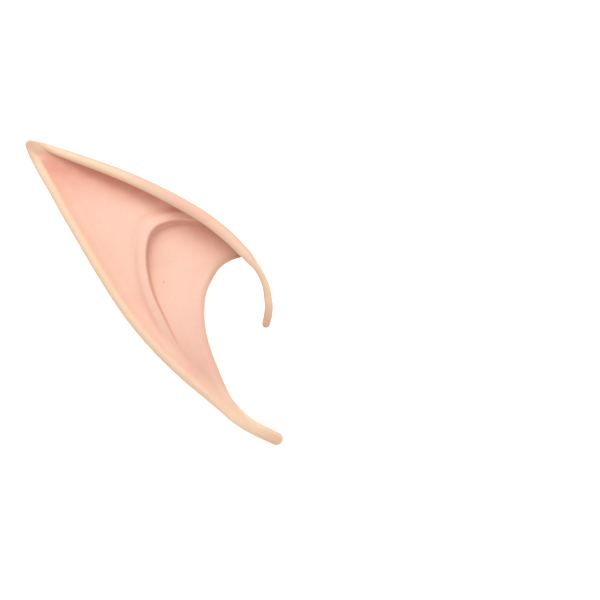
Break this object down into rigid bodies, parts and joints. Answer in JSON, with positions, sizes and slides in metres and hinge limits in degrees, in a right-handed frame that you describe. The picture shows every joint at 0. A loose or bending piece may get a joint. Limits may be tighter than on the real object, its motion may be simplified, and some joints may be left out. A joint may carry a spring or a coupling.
{
  "type": "costume elf ear",
  "caption": "Pointed soft latex ear that slips over a wearer's own ear, with rolled rims, an open pocket behind, a hook over the front of the ear and a tail round the lobe.",
  "frame": {"origin": "under the middle of the ear's box, on the surface where the flat of the back rests", "axes": "+Z from the flat of the back to the painted front, +Y towards the upper end as the ear lies (the point is at -X +Y, the tail at +X -Y), +X towards the hook"},
  "size_m": [0.0782, 0.0926, 0.0189],
  "materials": {
    "latex": "matte skin-toned painted latex"
  },
  "bodies": {
    "root": {"elf_ear": "latex"}
  },
  "joints": []
}
